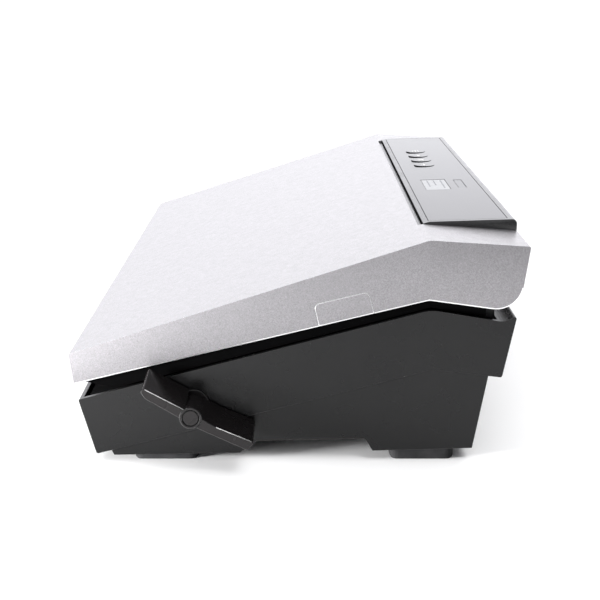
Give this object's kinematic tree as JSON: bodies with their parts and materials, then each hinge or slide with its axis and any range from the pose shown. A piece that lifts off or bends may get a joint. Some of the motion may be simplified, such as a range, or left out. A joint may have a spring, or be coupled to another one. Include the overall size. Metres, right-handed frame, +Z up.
{
  "type": "sheet fed document scanner",
  "caption": "Low wedge-shaped sheet fed document scanner: silver hinged lid over a black base tray, rear control panel, side wing lever, rollers and glass inside.",
  "frame": {"origin": "centre of the footprint of the whole object, on the surface it stands on, with the side lever counted in the width", "axes": "+Z up, +Y towards the rear where the paper leaves, +X towards the user's right, the side with the wing lever; paper enters at -Y"},
  "size_m": [0.406, 0.2079, 0.107],
  "materials": {
    "silver_paint": "fine metallic silver paint, satin, with white edge light",
    "black_plastic": "fine-textured moulded black, satin",
    "dark_plastic": "matt black moulding",
    "gloss_black": "polished black window",
    "white_plastic": "matt white reference surface",
    "lit_display": "lit display",
    "lit_strip": "frosted light strip",
    "clear_glass": "polished",
    "steel": "ground steel",
    "zinc_sheet": "zinc-plated sheet",
    "black_steel": "black-coated sheet steel",
    "black_rubber": "matt rubber",
    "grey_rubber": "ground roller rubber",
    "bronze": "sintered bronze",
    "circuit_board": "solder-masked board"
  },
  "bodies": {
    "base": {"base_tray": "black_plastic", "base_pedestal": "black_plastic", "lower_guide_plate": "dark_plastic", "scan_glass": "clear_glass", "sensor_bar": "dark_plastic", "drive_motor": "zinc_sheet", "drive_belt": "black_rubber", "main_board": "circuit_board", "usb_socket": "steel", "power_socket": "dark_plastic", "lever_bush": "black_plastic", "foot_front_left": "black_rubber", "foot_front_right": "black_rubber", "foot_rear_left": "black_rubber", "foot_rear_right": "black_rubber", "feed_bush_left": "bronze", "feed_bush_right": "bronze", "exit_bush_left": "bronze", "exit_bush_right": "bronze", "side_frame_left": "zinc_sheet", "side_frame_right": "zinc_sheet", "hinge_bracket_left": "black_steel", "hinge_bracket_right": "black_steel", "hinge_pin_left": "steel", "hinge_pin_right": "steel"},
    "lid": {"lid_cover": "silver_paint", "upper_guide_plate": "dark_plastic", "backing_bar": "white_plastic", "panel_housing": "black_plastic", "panel_glass": "gloss_black", "display_panel": "lit_display", "status_light": "lit_strip", "side_cap_left": "silver_paint", "side_cap_right": "silver_paint", "striker_left": "zinc_sheet", "striker_right": "zinc_sheet", "hinge_ear_left": "black_steel", "hinge_ear_right": "black_steel"},
    "lever": {"lever_knob": "black_plastic", "lever_cap": "black_plastic", "latch_shaft": "steel", "latch_hook_left": "zinc_sheet", "latch_hook_right": "zinc_sheet"},
    "feed_roller": {"feed_shaft": "steel", "feed_pulley": "dark_plastic", "feed_sleeve_1": "grey_rubber", "feed_sleeve_2": "grey_rubber", "feed_sleeve_3": "grey_rubber"},
    "exit_roller": {"exit_shaft": "steel", "exit_pulley": "dark_plastic", "exit_sleeve_1": "grey_rubber", "exit_sleeve_2": "grey_rubber", "exit_sleeve_3": "grey_rubber"},
    "motor_shaft": {"motor_pulley": "steel"},
    "feed_pinch": {"feed_pinch_roller": "grey_rubber"},
    "exit_pinch": {"exit_pinch_roller": "grey_rubber"},
    "key_1": {"button_1": "gloss_black"},
    "key_2": {"button_2": "gloss_black"},
    "key_3": {"button_3": "gloss_black"},
    "key_4": {"button_4": "gloss_black"}
  },
  "joints": [
    {"name": "lid_hinge", "type": "hinge", "parent": "base", "child": "lid", "pos_m": [-0.0105, 0.0896, 0.0851], "axis": [-1, 0, 0], "range_deg": [0, 60]},
    {"name": "lever_turn", "type": "hinge", "parent": "base", "child": "lever", "pos_m": [-0.0105, -0.0472, 0.0287], "axis": [1, 0, 0], "range_deg": [0, 48]},
    {"name": "feed_spin", "type": "hinge", "parent": "base", "child": "feed_roller", "pos_m": [-0.0105, -0.02955, 0.038], "axis": [1, 0, 0], "continuous": true},
    {"name": "exit_spin", "type": "hinge", "parent": "base", "child": "exit_roller", "pos_m": [-0.0105, 0.03445, 0.05491], "axis": [1, 0, 0], "continuous": true},
    {"name": "motor_spin", "type": "hinge", "parent": "base", "child": "motor_shaft", "pos_m": [-0.0105, 0.048, 0.028], "axis": [1, 0, 0], "continuous": true},
    {"name": "feed_pinch_spin", "type": "hinge", "parent": "lid", "child": "feed_pinch", "pos_m": [-0.0105, -0.03374, 0.05385], "axis": [1, 0, 0], "continuous": true},
    {"name": "exit_pinch_spin", "type": "hinge", "parent": "lid", "child": "exit_pinch", "pos_m": [-0.0105, 0.03026, 0.07077], "axis": [1, 0, 0], "continuous": true},
    {"name": "key_1_press", "type": "slide", "parent": "lid", "child": "key_1", "axis": [0, 0, -1], "range_m": [0, 0.0006], "stiffness_N_per_m": 800},
    {"name": "key_2_press", "type": "slide", "parent": "lid", "child": "key_2", "axis": [0, 0, -1], "range_m": [0, 0.0006], "stiffness_N_per_m": 800},
    {"name": "key_3_press", "type": "slide", "parent": "lid", "child": "key_3", "axis": [0, 0, -1], "range_m": [0, 0.0006], "stiffness_N_per_m": 800},
    {"name": "key_4_press", "type": "slide", "parent": "lid", "child": "key_4", "axis": [0, 0, -1], "range_m": [0, 0.0006], "stiffness_N_per_m": 800}
  ],
  "couplings": [
    {"joint": "exit_spin", "follows": "feed_spin", "ratio": 1},
    {"joint": "motor_spin", "follows": "feed_spin", "ratio": 1.375},
    {"joint": "feed_pinch_spin", "follows": "feed_spin", "ratio": -1.6667},
    {"joint": "exit_pinch_spin", "follows": "feed_spin", "ratio": -1.6667}
  ]
}
